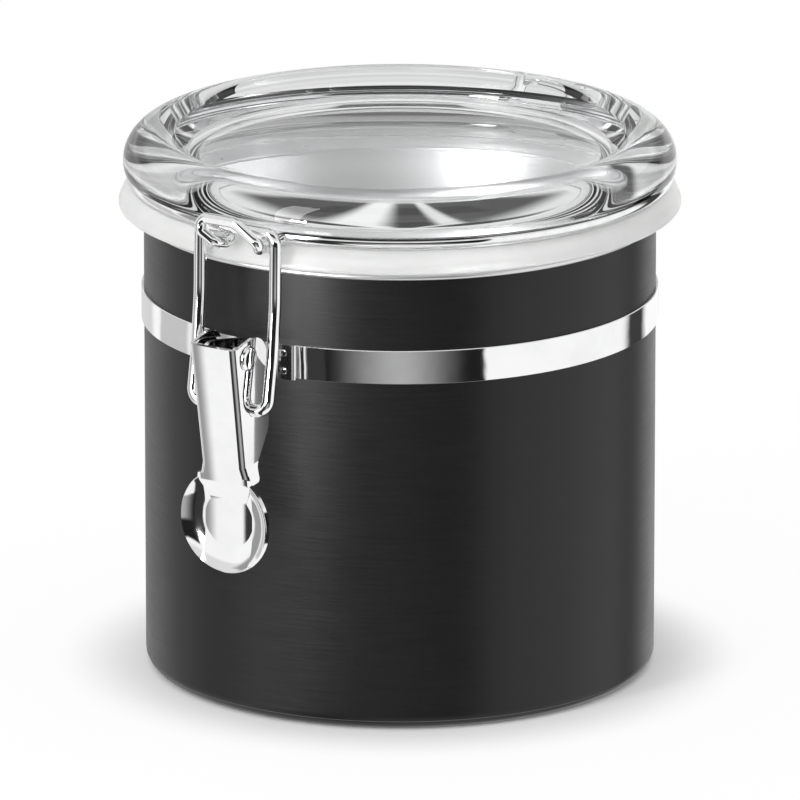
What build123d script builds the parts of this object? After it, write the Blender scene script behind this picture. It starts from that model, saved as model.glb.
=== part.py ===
from build123d import *
import os
from math import cos, radians, sin

# Clamp lid canister: a coated steel can with a clear lid, held shut by a lever clamp on a steel band.
# Millimetres, +Z up. The origin is the centre of the base, on the surface the can stands on.
# The clamp faces -Y and the lid hinges at +Y.

# Can
can_radius = 58.9
can_wall = 0.6
can_corner_radius = 3.4
can_top = 107.3
base_ring_radius = 45.0
base_ring_width = 7.0
base_ring_height = 0.9
rim_curl_radius = 0.75
rim_curl_centre = can_radius + 0.5

# Band round the can
band_bottom = 82.2
band_height = 7.8
band_thickness = 0.6
band_gap = 0.04
band_edge_chamfer = 0.15
band_radius = can_radius + band_gap + band_thickness

# Stamped brackets, spot-welded on the band
bracket_sheet = 1.0
bracket_gap = 0.04
bracket_overhang = 0.15
bracket_end_radius = 0.85
front_bracket_half_angle = 10.4
rear_bracket_half_angle = 7.6

# Lever pivot, in the ears of the front bracket
pivot_y = -72.0
pivot_z = 89.5
pivot_radius = 1.5
pivot_clearance = 0.06
ear_end_radius = 2.4
ear_end_blend = 2.3
ear_step = 1.5
ear_bore_gap = 0.01
ear_outer_x = 4.35
ear_root_rise = 0.4
ear_blend_radius = 3.0
rivet_head_radius = 2.9
rivet_head_height = 0.9
rivet_head_gap = 0.12
rivet_dome_radius = 0.8

# Lever, a stamped channel that ends in a dished thumb paddle
lever_sheet = 0.8
lever_top_y = -77.05
lever_top_z = 92.15
lever_tilt = 8.5
lever_top_half_width = 6.4
lever_neck_half_width = 6.1
lever_neck_drop = 29.0
lever_flare_half_width = 7.2
lever_flare_drop = 33.2
lever_wall_depth = 12.3
lever_wall_rise = 0.8
lever_lobe_radius = 5.4
lever_lobe_drop = 9.0
lever_hip_depth = 10.7
lever_hip_drop = 22.6
lever_ankle_depth = 4.6
lever_ankle_drop = 30.1
lever_foot_depth = 3.9
lever_fold_radius = 1.6
paddle_y = -70.3
paddle_z = 50.1
paddle_radius = 12.1
paddle_pad_radius = 6.5
paddle_rise = 2.1
paddle_lip_width = 0.4
paddle_lip_height = 0.6
paddle_dish_radius = 9.4
paddle_dish_rise = 0.65
paddle_back_rise = -0.12
throat_half_width = 4.8
throat_rise = 5.2
throat_lap = 0.3
throat_foot = 2.4
throat_bend_radius = 4.0
pinch_half_width = 7.25
pinch_rise = 9.6

# Bail, the wire loop that pulls the lid down
bail_wire_radius = 1.43
wire_clearance = 0.07
bail_hole_y = -69.7
bail_hole_z = 76.8
bail_half_width = 10.25
bail_top_y = -66.2
bail_top_z = 117.5
bail_shin_y = -67.75
bail_shin_z = 88.5
bail_knee_y = -66.5
bail_knee_z = 101.5
bail_end_x = 4.3
bail_corner_radius = 2.5
bail_foot_radius = 2.9
bail_bow_radius = 60.0

# Lid wire: a ring in the lid's groove, with a hinge loop behind and a nose in front
lid_wire_radius = 1.3
groove_radius = 61.6
groove_z = 116.0
groove_clearance = 0.05
hinge_y = 67.4
hinge_z = 110.2
hinge_half_width = 8.4
hinge_half_angle = 12.0
hinge_bend_radius = 2.4
nose_half_angle = 14.0
nose_run = 6.0
nose_front_y = -69.9
nose_root_y = -64.3
nose_tip_y = -68.0
nose_crest_z = 120.0
nose_tuck_z = 114.0
nose_right_x = 6.9
nose_left_x = -2.9
nose_loop_x = -7.4

# Rear bracket, a strip that rises from the band to a rolled eye
knuckle_half_width = 5.2
knuckle_radius = lid_wire_radius + wire_clearance + bracket_sheet
riser_foot_z = 92.5
riser_head_z = 103.0
riser_bend_radius = 4.0

# Lid
window_radius = 48.6
window_top = 121.6
window_thickness = 3.0
dish_radius = 51.6
dish_top = 125.2
dish_round_radius = 53.6
dish_round_top = 126.45
crown_radius = 56.0
crown_top = 127.0
bead_end_angle = -14
bead_radius = 63.6
lid_flange_radius = 60.6
lid_flange_bottom = 109.9
plug_radius = 56.2
plug_wall = 3.2
plug_bottom = 104.4
hollow_corner_z = 112.4
hollow_slope_radius = 50.2
hollow_slope_z = 117.0
hollow_roof_radius = 46.2
groove_lip = 0.3

# Gasket
gasket_bottom = 108.2
gasket_lip_radius = 57.4
gasket_lip_bottom = 105.4
gasket_skirt_radius = 64.6
gasket_shoulder_radius = 61.9
gasket_shoulder_z = 114.1
gasket_seat_radius = 61.5
gasket_edge_z = 109.0
gasket_edge_radius = 63.9
gasket_swell_z = 110.0
flange_gap = 0.04

bead_arc_radius = bead_radius - crown_radius
bead_centre_z = crown_top - bead_arc_radius
slant_cos = cos(radians(lever_tilt))
slant_sin = sin(radians(lever_tilt))

# Lever planes: local Y runs up the lever, and the front face lies at zero depth
lever_top = (0, lever_top_y, lever_top_z)
lever_outward = (0, -slant_cos, -slant_sin)
lever_front = Plane(origin=lever_top, x_dir=(1, 0, 0), z_dir=lever_outward)
lever_side = Plane(origin=lever_top, x_dir=lever_outward, z_dir=(-1, 0, 0))

# Paddle planes: the pad hangs upright, and its front face lies at zero depth
paddle_centre = (0, paddle_y, paddle_z)
paddle_outward = (0, -1, 0)
paddle_face = Plane(origin=paddle_centre, x_dir=(1, 0, 0), z_dir=paddle_outward)
paddle_section = Plane(origin=paddle_centre, x_dir=(1, 0, 0), z_dir=(0, 0, -1))


def radial_plane(azimuth):
    """Plane through the can's axis, with local X outwards at this angle from +X and local Y up."""
    angle = radians(azimuth)
    return Plane(origin=(0, 0, 0), x_dir=(cos(angle), sin(angle), 0), z_dir=(sin(angle), -cos(angle), 0))


def plate_profile(start_azimuth):
    """Section of a bracket's base, a plate bent to lie on the band."""
    with BuildSketch(radial_plane(start_azimuth)) as profile:
        with Locations((band_radius + bracket_gap, band_bottom - bracket_overhang)):
            Rectangle(bracket_sheet, band_height + 2 * bracket_overhang, align=(Align.MIN, Align.MIN))
    return profile.sketch


# Can: drawn shell, open at the top, with a curled mouth and a stiffening ring pressed up into its base
with BuildPart() as can:
    with BuildSketch(Plane.XZ):
        with BuildLine():
            Polyline(
                (0, 0),
                (base_ring_radius - base_ring_width / 2, 0),
                (base_ring_radius - base_ring_width / 2 + base_ring_height, base_ring_height),
                (base_ring_radius + base_ring_width / 2 - base_ring_height, base_ring_height),
                (base_ring_radius + base_ring_width / 2, 0),
                (can_radius, 0),
                (can_radius, can_top),
                (0, can_top),
                close=True,
            )
        make_face()
    revolve(axis=Axis.Z)
    foot_edge = can.edges().filter_by(GeomType.CIRCLE).group_by(Axis.Z)[0].sort_by(SortBy.RADIUS)[-1]
    fillet(foot_edge, can_corner_radius)
    offset(amount=-can_wall, openings=can.faces().sort_by(Axis.Z)[-1])
    with BuildSketch(Plane.XZ):
        with Locations((rim_curl_centre, can_top)):
            Circle(rim_curl_radius)
    revolve(axis=Axis.Z)
can.part.label = "can"

# Band: flat polished strip round the can, a little under its mouth
with BuildPart() as clamp_band:
    with BuildSketch(Plane.XY.offset(band_bottom)):
        Circle(band_radius)
        Circle(can_radius + band_gap, mode=Mode.SUBTRACT)
    extrude(amount=band_height)
    chamfer(clamp_band.edges().filter_by(GeomType.CIRCLE).group_by(SortBy.RADIUS)[-1], band_edge_chamfer)
clamp_band.part.label = "clamp_band"

# Front bracket: plate on the band, with two ears that carry the lever's pivot
ear_root_y = -band_radius - bracket_gap - bracket_sheet / 2
ear_step_y = pivot_y + ear_step
with BuildPart() as front_bracket:
    revolve(plate_profile(-90 - front_bracket_half_angle), Axis.Z, 2 * front_bracket_half_angle)
    plate_corners = front_bracket.edges().filter_by(Axis.Z).sort_by(Axis.Y)
    fillet(plate_corners[:2], bracket_end_radius)
    with BuildSketch(Plane.YZ.offset(ear_outer_x)):
        with BuildLine():
            FilletPolyline(
                (ear_root_y, band_bottom + ear_root_rise),
                (ear_step_y, pivot_z - ear_end_radius),
                (pivot_y - ear_end_radius, pivot_z - ear_end_radius),
                (pivot_y - ear_end_radius, pivot_z + ear_end_radius),
                (ear_step_y, pivot_z + ear_end_radius),
                (ear_root_y, band_bottom + band_height),
                radius=[0, ear_blend_radius, ear_end_blend, ear_end_blend, ear_blend_radius, 0],
                close=True,
            )
        make_face()
        with Locations((pivot_y, pivot_z)):
            Circle(pivot_radius + ear_bore_gap, mode=Mode.SUBTRACT)
    extrude(amount=-bracket_sheet)
    mirror(about=Plane.YZ)
front_bracket.part.label = "front_bracket"

# Lever pin: rivet through the ears and the lever's walls, with a domed head at each end
head_x = lever_top_half_width + rivet_head_gap
with BuildPart() as lever_pin:
    with BuildSketch(Plane(origin=(0, pivot_y, pivot_z), x_dir=(0, 1, 0), z_dir=(1, 0, 0))):
        Circle(pivot_radius)
    extrude(amount=head_x, both=True)
    for side in (1, -1):
        head_foot = (side * head_x, pivot_y, pivot_z)
        with BuildSketch(Plane(origin=head_foot, x_dir=(0, 1, 0), z_dir=(side, 0, 0))):
            Circle(rivet_head_radius)
        extrude(amount=rivet_head_height)
    head_rims = lever_pin.edges().filter_by(GeomType.CIRCLE).sort_by(Axis.X)
    fillet((head_rims[0], head_rims[-1]), rivet_dome_radius)
lever_pin.part.label = "lever_pin"

# Hollow of the lever's channel, open above and behind
with BuildPart() as lever_hollow:
    with BuildSketch(lever_front.offset(-lever_sheet)):
        with BuildLine():
            Polyline(
                (-lever_top_half_width + lever_sheet, 2 * lever_wall_rise),
                (-lever_neck_half_width + lever_sheet, -lever_neck_drop),
                (-lever_flare_half_width + lever_sheet, -lever_flare_drop),
                (-lever_flare_half_width + lever_sheet, -lever_flare_drop - 1),
                (lever_flare_half_width - lever_sheet, -lever_flare_drop - 1),
                (lever_flare_half_width - lever_sheet, -lever_flare_drop),
                (lever_neck_half_width - lever_sheet, -lever_neck_drop),
                (lever_top_half_width - lever_sheet, 2 * lever_wall_rise),
                close=True,
            )
        make_face()
    extrude(amount=-2 * lever_wall_depth)
    hollow_front = lever_hollow.faces().sort_by(Axis(lever_top, lever_outward))[-1]
    fillet(hollow_front.edges().filter_by(Axis.X, reverse=True), lever_fold_radius - lever_sheet)

# Thumb paddle of the lever: flat pad with a dished rim, open above where the throat comes in
pad_corner = (paddle_pad_radius, 0)
pad_back_corner = (paddle_pad_radius + 0.2, -lever_sheet)
lip_front = (paddle_radius - paddle_lip_width, paddle_rise)
lip_back = (paddle_radius, paddle_rise - paddle_lip_height)
with BuildPart() as paddle:
    with BuildSketch(paddle_section):
        with BuildLine():
            Polyline(pad_corner, (0, 0), (0, -lever_sheet), pad_back_corner)
            ThreePointArc(pad_corner, (paddle_dish_radius, paddle_dish_rise), lip_front)
            ThreePointArc(pad_back_corner, (paddle_dish_radius + 0.2, paddle_back_rise), lip_back)
            Line(lip_front, lip_back)
        make_face()
    revolve(axis=Axis(paddle_centre, paddle_outward))
    with BuildSketch(paddle_face):
        with BuildLine():
            Polyline(
                (-throat_half_width, throat_rise),
                (-pinch_half_width, pinch_rise),
                (-pinch_half_width, paddle_radius + 1),
                (pinch_half_width, paddle_radius + 1),
                (pinch_half_width, pinch_rise),
                (throat_half_width, throat_rise),
                close=True,
            )
        make_face()
    extrude(amount=2 * paddle_rise, both=True, mode=Mode.SUBTRACT)

# Throat of the lever: the web widens and dips from the channel's neck into the pad
neck_line = lever_front.offset(-lever_sheet / 2)
neck_start = neck_line.from_local_coords((0, -lever_ankle_drop - 1.6, 0))
neck_end = neck_line.from_local_coords((0, -lever_flare_drop - 0.4, 0))
pad_middle_y = paddle_y + lever_sheet / 2
with BuildPart() as throat:
    with BuildSketch(Plane.YZ):
        with BuildLine():
            FilletPolyline(
                (neck_start.Y, neck_start.Z),
                (neck_end.Y, neck_end.Z),
                (pad_middle_y, paddle_z + throat_rise),
                (pad_middle_y, paddle_z + throat_rise - throat_foot),
                radius=throat_bend_radius,
            )
        trace(line_width=lever_sheet)
    extrude(amount=2 * pinch_half_width, both=True)
    with BuildSketch(paddle_face):
        with BuildLine():
            Polyline(
                (-throat_half_width - throat_lap, throat_rise - 3),
                (-throat_half_width - throat_lap, throat_rise),
                (-pinch_half_width, pinch_rise),
                (-lever_flare_half_width + throat_lap, pinch_rise + 2),
                (lever_flare_half_width - throat_lap, pinch_rise + 2),
                (pinch_half_width, pinch_rise),
                (throat_half_width + throat_lap, throat_rise),
                (throat_half_width + throat_lap, throat_rise - 3),
                close=True,
            )
        make_face()
    extrude(amount=5 * paddle_rise, both=True, mode=Mode.INTERSECT)

# Lever: stamped channel with two tall walls, drawn out below into the dished paddle
with BuildPart() as lever:
    with BuildSketch(lever_side):
        with BuildLine():
            FilletPolyline(
                (0, 0),
                (-lever_wall_depth, lever_wall_rise),
                (-lever_wall_depth, -lever_lobe_drop),
                (-lever_hip_depth, -lever_hip_drop),
                (-lever_ankle_depth, -lever_ankle_drop),
                (-lever_foot_depth, -lever_flare_drop),
                (0, -lever_flare_drop),
                radius=[0, lever_lobe_radius, 12.0, 5.0, 2.5, 1.0, 0],
                close=True,
            )
        make_face()
    extrude(amount=lever_wall_depth, both=True)
    with BuildSketch(lever_front):
        with BuildLine():
            Polyline(
                (-lever_top_half_width, lever_wall_rise),
                (-lever_neck_half_width, -lever_neck_drop),
                (-lever_flare_half_width, -lever_flare_drop),
                (lever_flare_half_width, -lever_flare_drop),
                (lever_neck_half_width, -lever_neck_drop),
                (lever_top_half_width, lever_wall_rise),
                close=True,
            )
        make_face()
    extrude(amount=2 * lever_wall_depth, both=True, mode=Mode.INTERSECT)
    web_face = lever.faces().sort_by(Axis(lever_top, lever_outward))[-1]
    fillet(web_face.edges().filter_by(Axis.X, reverse=True), lever_fold_radius)
    add(lever_hollow.part, mode=Mode.SUBTRACT)
    add(throat.part)
    add(paddle.part)
    with BuildSketch(Plane.YZ):
        with Locations((pivot_y, pivot_z)):
            Circle(pivot_radius + pivot_clearance)
        with Locations((bail_hole_y, bail_hole_z)):
            Circle(bail_wire_radius + wire_clearance)
    extrude(amount=lever_wall_depth, both=True, mode=Mode.SUBTRACT)
lever.part.label = "lever"

# Bail: one bent wire whose ends turn in through the lever's walls
with BuildPart() as bail:
    with BuildLine() as bail_path:
        FilletPolyline(
            (-bail_end_x, bail_hole_y, bail_hole_z),
            (-bail_half_width, bail_hole_y, bail_hole_z),
            (-bail_half_width, bail_shin_y, bail_shin_z),
            (-bail_half_width, bail_knee_y, bail_knee_z),
            (-bail_half_width, bail_top_y, bail_top_z),
            (bail_half_width, bail_top_y, bail_top_z),
            (bail_half_width, bail_knee_y, bail_knee_z),
            (bail_half_width, bail_shin_y, bail_shin_z),
            (bail_half_width, bail_hole_y, bail_hole_z),
            (bail_end_x, bail_hole_y, bail_hole_z),
            radius=[
                bail_foot_radius, bail_bow_radius, bail_bow_radius, bail_corner_radius,
                bail_corner_radius, bail_bow_radius, bail_bow_radius, bail_foot_radius,
            ],
        )
    with BuildSketch(Plane(origin=bail_path.line @ 0, z_dir=bail_path.line % 0)):
        Circle(bail_wire_radius)
    sweep(path=bail_path.line)
bail.part.label = "bail"

# Lid: one clear moulding with a sunk window, a fat rolled bead, a wire groove and a plug
window_bottom = window_top - window_thickness
dish_edge = (dish_radius, dish_top)
with BuildPart() as lid:
    with BuildSketch(Plane.XZ):
        with BuildLine():
            Polyline((0, window_bottom), (0, window_top), (window_radius, window_top), dish_edge)
            ThreePointArc(dish_edge, (dish_round_radius, dish_round_top), (crown_radius, crown_top))
            CenterArc((crown_radius, bead_centre_z), bead_arc_radius, 90, bead_end_angle - 90)
            Polyline(
                (
                    crown_radius + bead_arc_radius * cos(radians(bead_end_angle)),
                    bead_centre_z + bead_arc_radius * sin(radians(bead_end_angle)),
                ),
                (lid_flange_radius + groove_lip, groove_z + lid_wire_radius + groove_clearance),
                (lid_flange_radius, groove_z - lid_wire_radius),
                (lid_flange_radius, lid_flange_bottom),
                (plug_radius, lid_flange_bottom),
                (plug_radius, plug_bottom),
                (plug_radius - plug_wall, plug_bottom),
                (plug_radius - plug_wall, hollow_corner_z),
                (hollow_slope_radius, hollow_slope_z),
                (hollow_roof_radius, window_bottom),
                (0, window_bottom),
            )
        make_face()
    revolve(axis=Axis.Z)
    with BuildSketch(Plane.XZ):
        with Locations((groove_radius, groove_z)):
            Circle(lid_wire_radius + groove_clearance)
    revolve(axis=Axis.Z, mode=Mode.SUBTRACT)
lid.part.label = "lid"

# Gasket: soft ring round the lid's flange, with a skirt outside and a lip inside the mouth
with BuildPart() as gasket:
    with BuildSketch(Plane.XZ):
        with BuildLine():
            Polyline(
                (gasket_edge_radius, gasket_edge_z),
                (gasket_seat_radius, gasket_bottom),
                (gasket_lip_radius, gasket_bottom),
                (gasket_lip_radius, gasket_lip_bottom),
                (plug_radius + flange_gap, gasket_lip_bottom),
                (plug_radius + flange_gap, lid_flange_bottom - flange_gap),
                (lid_flange_radius + flange_gap, lid_flange_bottom - flange_gap),
                (lid_flange_radius + flange_gap, gasket_shoulder_z),
                (gasket_shoulder_radius, gasket_shoulder_z),
            )
            ThreePointArc(
                (gasket_shoulder_radius, gasket_shoulder_z),
                (gasket_skirt_radius - 0.85, (gasket_shoulder_z + gasket_swell_z) / 2 + 0.05),
                (gasket_skirt_radius, gasket_swell_z),
            )
            ThreePointArc(
                (gasket_skirt_radius, gasket_swell_z),
                (gasket_skirt_radius - 0.15, gasket_edge_z + 0.3),
                (gasket_edge_radius, gasket_edge_z),
            )
        make_face()
    revolve(axis=Axis.Z)
gasket.part.label = "gasket"

# Lid wire: closed ring in the groove, bent down behind as the hinge and out in front as a nose
nose_angle = radians(nose_half_angle)
hinge_angle = radians(hinge_half_angle)
nose_leave_x = groove_radius * sin(nose_angle)
nose_leave_y = -groove_radius * cos(nose_angle)
hinge_leave_x = groove_radius * sin(hinge_angle)
hinge_leave_y = groove_radius * cos(hinge_angle)
hinge_run = (hinge_leave_x - hinge_half_width) / cos(hinge_angle)
nose_turn_x = nose_leave_x - nose_run * cos(nose_angle)
nose_turn_y = nose_leave_y - nose_run * sin(nose_angle)
nose_seam = (0, nose_front_y, nose_crest_z)
right_nose = (
    (nose_leave_x, nose_leave_y, groove_z),
    (nose_turn_x, nose_turn_y, groove_z),
    (nose_right_x, nose_root_y, nose_tuck_z),
    (nose_right_x, nose_tip_y, nose_tuck_z),
    (nose_right_x + 1.1, nose_front_y, nose_tuck_z + 1.9),
    (1.6, nose_front_y, nose_crest_z),
    nose_seam,
)
left_nose = (
    (-nose_leave_x, nose_leave_y, groove_z),
    (-nose_turn_x, nose_turn_y, groove_z),
    (nose_left_x, nose_root_y, nose_tuck_z),
    (nose_left_x, nose_tip_y + 1.6, nose_tuck_z),
    (nose_left_x - 1.4, nose_front_y + 0.6, nose_tuck_z + 0.7),
    (nose_loop_x, nose_front_y - 0.5, nose_crest_z - 2.8),
    (nose_loop_x, nose_front_y - 0.2, nose_crest_z),
    nose_seam,
)
wire_halves = (
    (1, right_nose, [2.4, 2.0, 2.0, 1.5, 5.2]),
    (-1, left_nose, [2.4, 1.9, 2.0, 2.2, 1.4, 1.8]),
)
with BuildPart() as lid_wire:
    for side, nose_points, nose_bends in wire_halves:
        with BuildLine() as half_path:
            FilletPolyline(
                (0, hinge_y, hinge_z),
                (side * hinge_half_width, hinge_y, hinge_z),
                (side * hinge_half_width, hinge_y, groove_z),
                (side * hinge_half_width, hinge_leave_y + hinge_run * sin(hinge_angle), groove_z),
                (side * hinge_leave_x, hinge_leave_y, groove_z),
                radius=hinge_bend_radius,
            )
            CenterArc(
                (0, 0, groove_z),
                groove_radius,
                90 - side * hinge_half_angle,
                -side * (180 - nose_half_angle - hinge_half_angle),
            )
            FilletPolyline(*nose_points, radius=nose_bends)
        with BuildSketch(Plane(origin=half_path.line @ 0, z_dir=half_path.line % 0)):
            Circle(lid_wire_radius)
        sweep(path=half_path.line)
lid_wire.part.label = "lid_wire"

# Rear bracket: plate on the band, rises clear of the mouth and rolls round the lid wire
knuckle_sheet_y = hinge_y - knuckle_radius + bracket_sheet / 2
with BuildPart() as rear_bracket:
    revolve(plate_profile(90 - rear_bracket_half_angle), Axis.Z, 2 * rear_bracket_half_angle)
    rear_corners = rear_bracket.edges().filter_by(Axis.Z).sort_by(Axis.Y)
    fillet(rear_corners[-2:], bracket_end_radius)
    with BuildSketch(Plane.YZ):
        with BuildLine():
            FilletPolyline(
                (band_radius + bracket_gap + bracket_sheet / 2, band_bottom),
                (band_radius + bracket_gap + bracket_sheet / 2, riser_foot_z),
                (knuckle_sheet_y, riser_head_z),
                (knuckle_sheet_y, hinge_z),
                radius=riser_bend_radius,
            )
        trace(line_width=bracket_sheet)
        with Locations((hinge_y, hinge_z)):
            Circle(knuckle_radius)
            Circle(lid_wire_radius + wire_clearance, mode=Mode.SUBTRACT)
    extrude(amount=knuckle_half_width, both=True)
rear_bracket.part.label = "rear_bracket"

os.makedirs("parts", exist_ok=True)
pieces = (can, clamp_band, front_bracket, lever_pin, lever, bail, lid, gasket, lid_wire, rear_bracket)
for piece in pieces:
    export_step(piece.part, f"parts/{piece.part.label}.step")
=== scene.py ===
"""Looks of a clamp lid canister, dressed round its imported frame.

Everything is in metres in the frame's own axes: +Z up, the clamp faces -Y and the lid hinges at +Y.
"""

from __future__ import annotations

import logging
import math
from collections.abc import Iterable, Mapping, Sequence
from dataclasses import dataclass, field

import bpy
from mathutils import Matrix, Vector

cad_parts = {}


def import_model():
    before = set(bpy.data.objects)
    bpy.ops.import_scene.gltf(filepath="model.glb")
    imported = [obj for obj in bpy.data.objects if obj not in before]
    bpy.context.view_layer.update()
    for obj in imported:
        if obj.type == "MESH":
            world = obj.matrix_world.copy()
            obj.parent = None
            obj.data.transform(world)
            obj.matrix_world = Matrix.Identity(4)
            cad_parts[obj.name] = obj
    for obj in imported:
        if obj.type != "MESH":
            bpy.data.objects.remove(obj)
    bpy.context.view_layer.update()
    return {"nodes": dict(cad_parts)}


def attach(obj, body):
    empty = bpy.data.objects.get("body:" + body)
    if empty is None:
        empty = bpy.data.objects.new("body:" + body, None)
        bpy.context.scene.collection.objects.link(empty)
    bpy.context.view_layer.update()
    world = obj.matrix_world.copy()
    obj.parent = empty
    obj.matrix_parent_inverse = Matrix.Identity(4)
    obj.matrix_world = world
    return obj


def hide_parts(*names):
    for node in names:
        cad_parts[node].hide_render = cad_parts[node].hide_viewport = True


log = logging.getLogger("canister")

MM = 0.001
Colour = tuple[float, float, float]
Corner = tuple[Vector, float]


class Val:
    """A number socket of a node tree that takes part in Python arithmetic."""

    def __init__(self, tree: Tree, socket: bpy.types.NodeSocket) -> None:
        """Wraps a socket.

        Args:
            tree: the tree that the socket's node is in.
            socket: an output socket that holds a number.
        """
        self.tree = tree
        self.socket = socket

    def _math(self, operation: str, *terms: Val | float) -> Val:
        """Adds one Math node.

        Args:
            operation: the Math node's operation.
            terms: its inputs in order.

        Returns:
            The node's result.
        """
        return self.tree.number("ShaderNodeMath", {"operation": operation}, dict(enumerate(terms)))

    def __add__(self, other: Val | float) -> Val:
        """Sum."""
        return self._math("ADD", self, other)

    def __radd__(self, other: float) -> Val:
        """Sum with the number first."""
        return self._math("ADD", other, self)

    def __sub__(self, other: Val | float) -> Val:
        """Difference."""
        return self._math("SUBTRACT", self, other)

    def __rsub__(self, other: float) -> Val:
        """Difference with the number first."""
        return self._math("SUBTRACT", other, self)

    def __mul__(self, other: Val | float) -> Val:
        """Product."""
        return self._math("MULTIPLY", self, other)

    def __rmul__(self, other: float) -> Val:
        """Product with the number first."""
        return self._math("MULTIPLY", other, self)

    def __pow__(self, other: float) -> Val:
        """Power."""
        return self._math("POWER", self, other)

    def __abs__(self) -> Val:
        """Size without sign."""
        return self._math("ABSOLUTE", self)

    def highest(self, other: Val | float) -> Val:
        """The larger of the two."""
        return self._math("MAXIMUM", self, other)

    def lowest(self, other: Val | float) -> Val:
        """The smaller of the two."""
        return self._math("MINIMUM", self, other)

    def sine(self) -> Val:
        """Sine of an angle in radians."""
        return self._math("SINE", self)

    def cosine(self) -> Val:
        """Cosine of an angle in radians."""
        return self._math("COSINE", self)

    def arcsine(self) -> Val:
        """Angle in radians whose sine this is."""
        return self._math("ARCSINE", self)

    def bearing(self, across: Val) -> Val:
        """Angle in radians from this axis towards the one across it."""
        return self._math("ARCTAN2", across, self)

    def wrapped(self, low: float, high: float) -> Val:
        """The value brought into a repeating range."""
        return self._math("WRAP", self, high, low)

    def ramp(self, low: float, high: float) -> Val:
        """Runs smoothly from 0 to 1 between two limits.

        Args:
            low: where the result is 0. It may be the larger limit.
            high: where the result is 1.

        Returns:
            A value from 0 to 1.
        """
        settings = {"interpolation_type": "SMOOTHSTEP", "clamp": True}
        inputs = {"Value": self, "From Min": low, "From Max": high, "To Min": 0.0, "To Max": 1.0}
        return self.tree.number("ShaderNodeMapRange", settings, inputs)


class Tree:
    """Writes a shader tree or a geometry tree from Python expressions."""

    def __init__(self, tree: bpy.types.NodeTree) -> None:
        """Takes an empty node tree.

        Args:
            tree: the tree to fill.
        """
        self.tree = tree
        tree.nodes.clear()

    def node(
        self,
        kind: str,
        settings: Mapping[str, object] | None = None,
        inputs: Mapping[str | int, object] | None = None,
    ) -> bpy.types.Node:
        """Adds any node.

        Args:
            kind: the node's type name.
            settings: its properties, which are set first.
            inputs: values or links for its sockets, by name or place.

        Returns:
            The node.
        """
        made = self.tree.nodes.new(kind)
        for name, value in (settings or {}).items():
            setattr(made, name, value)
        for key, value in (inputs or {}).items():
            socket = made.inputs[key]
            if isinstance(value, Val):
                value = value.socket
            if isinstance(value, bpy.types.NodeSocket):
                self.tree.links.new(value, socket)
            elif isinstance(value, tuple) and socket.type == "RGBA":
                socket.default_value = (*value, 1.0)
            else:
                socket.default_value = value
        return made

    def number(
        self,
        kind: str,
        settings: Mapping[str, object] | None = None,
        inputs: Mapping[str | int, object] | None = None,
        output: str | int = 0,
    ) -> Val:
        """Adds a node and wraps one of its outputs.

        Args:
            kind: the node's type name.
            settings: its properties.
            inputs: values or links for its sockets.
            output: the output that is wrapped.

        Returns:
            The wrapped output.
        """
        return Val(self, self.node(kind, settings, inputs).outputs[output])

    def place(self) -> bpy.types.NodeSocket:
        """Object coordinates, in metres from the frame's origin."""
        return self.node("ShaderNodeTexCoord").outputs["Object"]

    def parts_of(self, vector: bpy.types.NodeSocket) -> tuple[Val, Val, Val]:
        """The three numbers of a vector."""
        split = self.node("ShaderNodeSeparateXYZ", None, {"Vector": vector})
        return Val(self, split.outputs[0]), Val(self, split.outputs[1]), Val(self, split.outputs[2])

    def vector(self, x: Val | float, y: Val | float, z: Val | float) -> bpy.types.NodeSocket:
        """A vector made of three numbers."""
        return self.node("ShaderNodeCombineXYZ", None, {0: x, 1: y, 2: z}).outputs[0]

    def noise(
        self, vector: bpy.types.NodeSocket, scale: float, detail: float = 2.0, roughness: float = 0.5
    ) -> Val:
        """Cloudy noise round 0.5.

        Args:
            vector: the coordinates that it reads.
            scale: cells per metre.
            detail: octaves.
            roughness: strength of the finer octaves.

        Returns:
            The noise value.
        """
        inputs = {"Vector": vector, "Scale": scale, "Detail": detail, "Roughness": roughness}
        return self.number("ShaderNodeTexNoise", {"normalize": True}, inputs)

    def mix(self, share: Val | float, first: object, second: object) -> bpy.types.NodeSocket:
        """Mixes two colours.

        Args:
            share: 0 gives the first colour and 1 the second.
            first: a colour or a colour socket.
            second: a colour or a colour socket.

        Returns:
            The mixed colour.
        """
        made = self.node("ShaderNodeMix", {"data_type": "RGBA"}, {"Factor": share, 6: first, 7: second})
        return made.outputs[2]

    def bump(
        self, height: Val, depth: float, strength: float = 1.0, under: bpy.types.NodeSocket | None = None
    ) -> bpy.types.NodeSocket:
        """A normal disturbed by a height.

        Args:
            height: the height, from 0 to 1.
            depth: metres between 0 and 1.
            strength: share of the effect.
            under: a normal to start from.

        Returns:
            The normal.
        """
        inputs: dict[str | int, object] = {"Height": height, "Distance": depth, "Strength": strength}
        if under is not None:
            inputs["Normal"] = under
        return self.node("ShaderNodeBump", None, inputs).outputs["Normal"]


class Finish:
    """Base of every finish: names a material and writes its tree."""

    name: str

    def fill(self, tree: Tree) -> bpy.types.NodeSocket:
        """Writes the tree.

        Args:
            tree: an empty tree.

        Returns:
            The surface's shader output.
        """
        raise NotImplementedError

    def material(self) -> bpy.types.Material:
        """The finish as a material, made once.

        Returns:
            The material.
        """
        name = f"finish_{self.name}"
        made = bpy.data.materials.get(name)
        if made is None:
            made = bpy.data.materials.new(name)
            made.use_nodes = True
            tree = Tree(made.node_tree)
            tree.node("ShaderNodeOutputMaterial", None, {"Surface": self.fill(tree)})
        return made


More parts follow.
